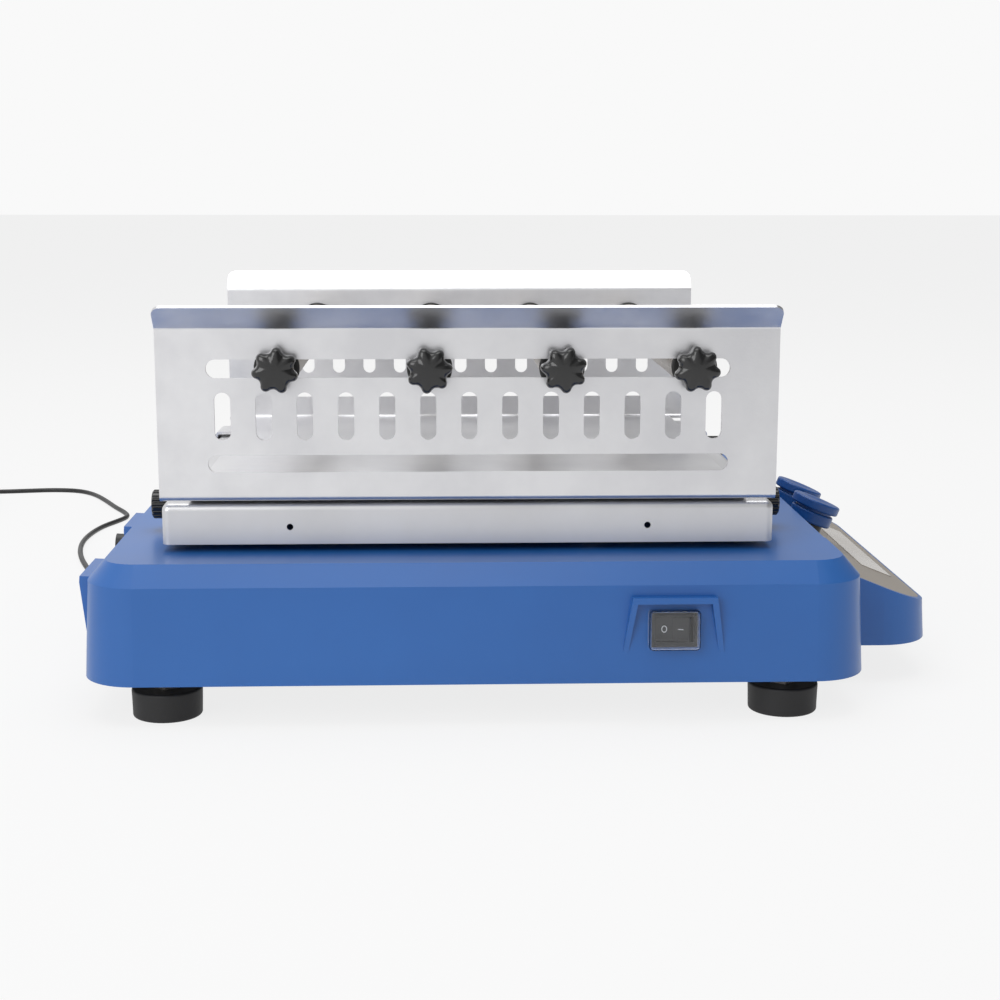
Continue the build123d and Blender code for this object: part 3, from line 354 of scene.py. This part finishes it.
finishes = {
    "casing_blue": finish_material("casing_blue", srgb(28, 92, 166), srgb(34, 99, 174), 0.4, bump=0.25, depth=0.03,
                                   grain=1800, patch=5, coat=0.25, coat_rough=0.22),
    "knob_blue": finish_material("knob_blue", srgb(14, 74, 146), srgb(20, 82, 156), 0.36, bump=0.15, grain=2500),
    "tray_steel": finish_material("tray_steel", srgb(214, 214, 217), srgb(226, 226, 228), 0.34, metal=1.0,
                                  grain=1100, stretch=(1, 0.55, 1), bump=0.55, depth=0.05, patch=22),
    "stage_paint": finish_material("stage_paint", srgb(206, 206, 208), srgb(216, 216, 218), 0.4, metal=0.85,
                                   grain=1400, bump=0.35, depth=0.03, patch=16),
    "bar_steel": finish_material("bar_steel", srgb(150, 143, 134), srgb(170, 163, 154), 0.3, metal=1.0,
                                 grain=900, stretch=(0.15, 1, 1), bump=0.25, depth=0.03, patch=18),
    "star_black": finish_material("star_black", srgb(12, 12, 13), srgb(18, 18, 19), 0.22, grain=1600, bump=0.06,
                                  coat=0.35, coat_rough=0.08),
    "ring_black": finish_material("ring_black", srgb(14, 14, 14), srgb(22, 22, 22), 0.55, grain=1300, bump=0.3),
    "foot_rubber": finish_material("foot_rubber", srgb(17, 17, 19), srgb(25, 25, 27), 0.6, grain=1200, bump=0.4,
                                   depth=0.04, patch=40),
    "zinc": finish_material("zinc", srgb(196, 192, 188), srgb(214, 210, 206), 0.28, metal=1.0, grain=900, bump=0.15),
    "steel": finish_material("steel", srgb(168, 168, 170), srgb(186, 186, 188), 0.3, metal=1.0, grain=900, bump=0.2),
    "cast_metal": finish_material("cast_metal", srgb(176, 177, 180), srgb(196, 197, 199), 0.46, metal=1.0,
                                  grain=700, bump=0.5, depth=0.06),
    "plate_grey": finish_material("plate_grey", srgb(84, 87, 92), srgb(96, 99, 104), 0.42, metal=0.6, grain=1000,
                                  bump=0.3, depth=0.04, patch=14),
    "panel_grey": finish_material("panel_grey", srgb(150, 142, 132), srgb(158, 150, 140), 0.42, grain=2200,
                                  bump=0.25, depth=0.02, patch=18),
    "board_green": finish_material("board_green", srgb(20, 92, 50), srgb(28, 108, 60), 0.35, grain=600, bump=0.2),
    # seal_black: the black collars under the control knobs stand where the knobs' shadow falls on the panel, so
    # their black is painted shade
    "seal_black": finish_material("seal_black", srgb(16, 16, 17), srgb(24, 24, 25), 0.5, grain=1500, bump=0.2),
    "switch_black": finish_material("switch_black", srgb(20, 20, 22), srgb(28, 28, 30), 0.34, grain=2000, bump=0.2),
    "socket_black": finish_material("socket_black", srgb(22, 22, 23), srgb(30, 30, 31), 0.42, grain=1500, bump=0.2),
    "shell_metal": finish_material("shell_metal", srgb(190, 190, 188), srgb(206, 206, 204), 0.25, metal=1.0),
    "belt_black": finish_material("belt_black", srgb(20, 20, 20), srgb(28, 28, 28), 0.65, grain=1000, bump=0.4),
    # mat_black: the black sheet between the tray and the platform fills the shadow gap under the tray, so its black
    # is painted shade
    "mat_black": finish_material("mat_black", srgb(18, 18, 18), srgb(26, 26, 26), 0.7, grain=800, bump=0.6,
                                 depth=0.08),
    "lead_black": finish_material("lead_black", srgb(20, 20, 21), srgb(28, 28, 29), 0.42, grain=1500, bump=0.15,
                                  patch=30),
    "print_white": finish_material("print_white", srgb(228, 230, 232), srgb(238, 240, 242), 0.45, grain=2500,
                                   bump=0.1),
}


def make_clear_plastic(name, tint, rough):
    """Clear plastic, a little uneven in its tint and its surface."""
    material, tree, shader = new_material(name)
    grain_node = place(tree, "ShaderNodeGroup", node_tree=fine_grain)
    grain_node.inputs["Scale"].default_value = 700.0
    grain_node.inputs["Patch Scale"].default_value = 60.0
    tone_node = place(tree, "ShaderNodeGroup", node_tree=tone)
    tone_node.inputs["Dark"].default_value = tuple(c * 0.97 for c in tint[:3]) + (1.0,)
    tone_node.inputs["Light"].default_value = tint
    tree.links.new(grain_node.outputs["Patches"], tone_node.inputs["Mask"])
    tree.links.new(tone_node.outputs["Color"], shader.inputs["Base Color"])
    shader.inputs["Roughness"].default_value = rough
    shader.inputs["IOR"].default_value = 1.46
    shader.inputs["Transmission Weight"].default_value = 1.0
    relief = place(tree, "ShaderNodeBump")
    relief.inputs["Strength"].default_value = 0.12
    relief.inputs["Distance"].default_value = 0.03 * MM
    tree.links.new(grain_node.outputs["Height"], relief.inputs["Height"])
    tree.links.new(relief.outputs["Normal"], shader.inputs["Normal"])
    return material


finishes["cover_clear"] = make_clear_plastic("cover_clear", srgb(247, 249, 252), 0.08)
finishes["window_dark"] = finish_material("window_dark", srgb(168, 160, 150), srgb(176, 168, 158), 0.14,
                                          grain=2500, bump=0.03)


def make_unit_material():
    """Black moulded plastic up to the power unit's top, and nickel above it on the pins."""
    material = finish_material("unit_black", srgb(24, 24, 25), srgb(32, 32, 33), 0.42, grain=1300, bump=0.35,
                               depth=0.04)
    tree = material.node_tree
    shader = tree.nodes["Principled BSDF"]
    where = place(tree, "ShaderNodeTexCoord")
    split = place(tree, "ShaderNodeSeparateXYZ")
    tree.links.new(where.outputs["Object"], split.inputs[0])
    body_top = 0.0301
    body_from_x = 0.25
    top = math_node(tree, "GREATER_THAN", split.outputs["Z"], body_top)
    far = math_node(tree, "GREATER_THAN", split.outputs["X"], body_from_x)
    pins = math_node(tree, "MULTIPLY", top, far)
    mix = place(tree, "ShaderNodeMix", data_type="RGBA")
    base = shader.inputs["Base Color"].links[0].from_socket
    tree.links.new(pins, mix.inputs["Factor"])
    tree.links.new(base, mix.inputs["A"])
    mix.inputs["B"].default_value = srgb(205, 203, 198)
    tree.links.new(mix.outputs["Result"], shader.inputs["Base Color"])
    tree.links.new(pins, shader.inputs["Metallic"])
    return material


finishes["unit_black"] = make_unit_material()


def wear(piece, material):
    piece.data.materials.clear()
    piece.data.materials.append(material)


slot_of = {entry["node"]: entry["material_slot"] for entry in frame["record"]["subparts"]}
# The record's slot for the cross bars is bar_grey, and the photo shows them as metal
finishes["bar_grey"] = finishes["bar_steel"]
for name, node in nodes.items():
    wear(node, finishes[slot_of[name]])
wear(lead, finishes["lead_black"])
wear(tie, finishes["lead_black"])


# Star knobs: domed and soft-edged, over the solid ones
star_points = 168
star_lobes = 7
star_radius = 11.2
lobe_depth = 2.3
star_axis_height = 0.1657


def turned_ring(reaches, height, turn):
    """Points around the knob's axis, each at its own reach."""
    points = []
    for k, reach in enumerate(reaches):
        angle = 2 * math.pi * k / star_points + turn
        points.append(Vector((reach * math.cos(angle), reach * math.sin(angle), height)) * MM)
    return points


def hub_ring(radius, height, turn):
    return turned_ring([radius] * star_points, height, turn)


def star_ring(round_in, height, turn):
    """A lobed ring, drawn in from the knob's full radius."""
    reaches = []
    for k in range(star_points):
        wave = math.cos(star_lobes * (2 * math.pi * k / star_points))
        lobe = 0.5 - 0.5 * math.copysign(abs(wave) ** 0.8, wave)
        reaches.append(star_radius - round_in - lobe_depth * lobe)
    return turned_ring(reaches, height, turn)


def make_star(name, side):
    """One grip: a round hub, the lobed body on it, and a low dome."""
    low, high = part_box(name)
    middle = (low + high) / 2
    turn = math.radians(-8 * side)
    number = int(name.split("_")[2])
    turn += math.radians([0, 23, -14, 9][number - 1])
    hub = [(6.5, 0.0), (6.5, 3.4), (6.9, 4.0)]
    body = [
        (1.6, 4.0), (0.7, 4.35), (0.15, 5.0), (0.0, 6.2), (0.05, 8.4), (0.3, 9.7), (0.95, 10.8),
        (2.0, 11.55), (3.4, 12.0),
    ]
    dome = [(5.2, 12.25), (2.6, 12.38), (0.6, 12.42)]
    rings = [hub_ring(radius, height, turn) for radius, height in hub]
    rings += [star_ring(round_in, height, turn) for round_in, height in body]
    rings += [hub_ring(radius, height, turn) for radius, height in dome]
    form = bmesh.new()
    rings_to_mesh(form, rings)
    outward = Matrix(((0, 0, side), (1, 0, 0), (0, side, 0))).to_4x4()
    start = low.x if side > 0 else high.x
    form.transform(Matrix.Translation((start, middle.y, star_axis_height)) @ outward)
    bmesh.ops.recalc_face_normals(form, faces=form.faces)
    piece = mesh_piece(name + "_grip", form)
    wear(piece, finishes["star_black"])
    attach(piece, name.replace("star_knob", "star"))
    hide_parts(name)


for number in (1, 2, 3, 4):
    make_star(f"star_knob_{number}_left", -1)
    make_star(f"star_knob_{number}_right", 1)


# Marks on the rocker: a ring and a bar
def make_rocker_marks():
    """Each mark lies on one of the two tilted halves of the rocker's face."""
    low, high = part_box("switch_rocker")
    middle_y = (low.y + high.y) / 2
    faces = nodes["switch_rocker"].data.polygons
    ring_steps = 48
    ring_size = (1.15, 1.5)
    half_ring_line = 0.2
    half_bar_length = 1.35
    half_bar_line = 0.22
    half_thickness = 0.06
    for sign, name in ((1, "mark_off"), (-1, "mark_on")):
        picks = [f for f in faces if f.normal.x < -0.7]
        picks = [f for f in picks if (f.center.y - middle_y) * sign > 0.001]
        area = sum(f.area for f in picks)
        normal = sum((f.normal * f.area for f in picks), Vector()).normalized()
        centre = sum((f.center * f.area for f in picks), Vector()) / area
        across = Vector((0, 0, 1)).cross(normal).normalized()
        up = normal.cross(across).normalized()
        lift = normal * half_thickness
        form = bmesh.new()
        rings = []
        if name == "mark_off":
            corners = ((1, -1), (1, 1), (-1, 1), (-1, -1))
            for k in range(ring_steps):
                angle = 2 * math.pi * k / ring_steps
                out = across * math.cos(angle) * ring_size[0] + up * math.sin(angle) * ring_size[1]
                line = out.normalized() * half_ring_line
                rings.append([centre + (out + line * u) * MM + lift * n * MM for u, n in corners])
            rings_to_mesh(form, rings, looped=True)
        else:
            corners = ((-1, -1), (1, -1), (1, 1), (-1, 1))
            for end in (-1, 1):
                out = across * end * half_bar_length
                rings.append([centre + (out + up * half_bar_line * u + lift * n) * MM for u, n in corners])
            rings_to_mesh(form, rings)
        piece = mesh_piece(name, form, smooth=False)
        wear(piece, finishes["print_white"])
        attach(piece, "rocker")


make_rocker_marks()


# Floor, lamps and the surroundings
background_colour = (0.947, 0.947, 0.947, 1)
floor_glow_share = 0.86
room_light = 0.42


def mix_shaders(tree, share, first, second):
    mix = place(tree, "ShaderNodeMixShader")
    tree.links.new(share, mix.inputs["Fac"])
    tree.links.new(first.outputs[0], mix.inputs[1])
    tree.links.new(second.outputs[0], mix.inputs[2])
    return mix


def make_floor():
    form = bmesh.new()
    bmesh.ops.create_grid(form, x_segments=2, y_segments=2, size=12.0)
    floor = mesh_piece("studio_floor", form, smooth=False)
    material, tree, shader = new_material("studio_floor")
    shader.inputs["Base Color"].default_value = (0.93, 0.93, 0.93, 1)
    shader.inputs["Roughness"].default_value = 0.9
    shader.inputs["Specular IOR Level"].default_value = 0.0
    glow = place(tree, "ShaderNodeEmission")
    glow.inputs["Color"].default_value = background_colour
    path = place(tree, "ShaderNodeLightPath")
    seen = math_node(tree, "MAXIMUM", path.outputs["Is Camera Ray"], path.outputs["Is Glossy Ray"])
    seen = math_node(tree, "MAXIMUM", seen, path.outputs["Is Transmission Ray"])
    share = math_node(tree, "MULTIPLY", seen, floor_glow_share)
    mix = mix_shaders(tree, share, shader, glow)
    tree.links.new(mix.outputs[0], tree.nodes["Material Output"].inputs["Surface"])
    wear(floor, material)


def make_world():
    world = bpy.data.worlds.new("studio")
    world.use_nodes = True
    scene.world = world
    tree = world.node_tree
    tree.nodes.clear()
    leave = place(tree, "ShaderNodeOutputWorld")
    plain = place(tree, "ShaderNodeBackground")
    plain.inputs["Color"].default_value = (1, 1, 1, 1)
    plain.inputs["Strength"].default_value = room_light
    seen = place(tree, "ShaderNodeBackground")
    seen.inputs["Strength"].default_value = 1.0
    seen.inputs["Color"].default_value = background_colour
    shown = place(tree, "ShaderNodeBackground")
    shown.inputs["Strength"].default_value = 1.0
    where = place(tree, "ShaderNodeTexCoord")
    split = place(tree, "ShaderNodeSeparateXYZ")
    tree.links.new(where.outputs["Generated"], split.inputs[0])
    span = place(tree, "ShaderNodeMapRange")
    span.inputs["From Min"].default_value = -0.45
    span.inputs["From Max"].default_value = 0.1
    span.inputs["To Min"].default_value = 0.25
    span.inputs["To Max"].default_value = 0.9
    tree.links.new(split.outputs["Y"], span.inputs["Value"])
    tree.links.new(span.outputs["Result"], shown.inputs["Color"])
    path = place(tree, "ShaderNodeLightPath")
    mirror = math_node(tree, "MAXIMUM", path.outputs["Is Glossy Ray"], path.outputs["Is Transmission Ray"])
    lit = mix_shaders(tree, mirror, plain, shown)
    whole = mix_shaders(tree, path.outputs["Is Camera Ray"], lit, seen)
    tree.links.new(whole.outputs[0], leave.inputs["Surface"])


def make_lamp(name, at, towards, size, power):
    data = bpy.data.lights.new(name, "AREA")
    data.shape = "SQUARE"
    data.size = size
    data.energy = power
    lamp = bpy.data.objects.new(name, data)
    aim = Vector(towards) - Vector(at)
    lamp.matrix_world = Matrix.Translation(at) @ aim.to_track_quat("-Z", "Y").to_matrix().to_4x4()
    scene.collection.objects.link(lamp)


make_floor()
make_world()
make_lamp("overhead", (0.1, 0.1, 1.9), (0, 0, 0), 1.8, 22.0)
make_lamp("left_front", (-1.7, 1.3, 1.1), (0, 0, 0.08), 1.4, 18.0)
scene.view_settings.view_transform = "Standard"
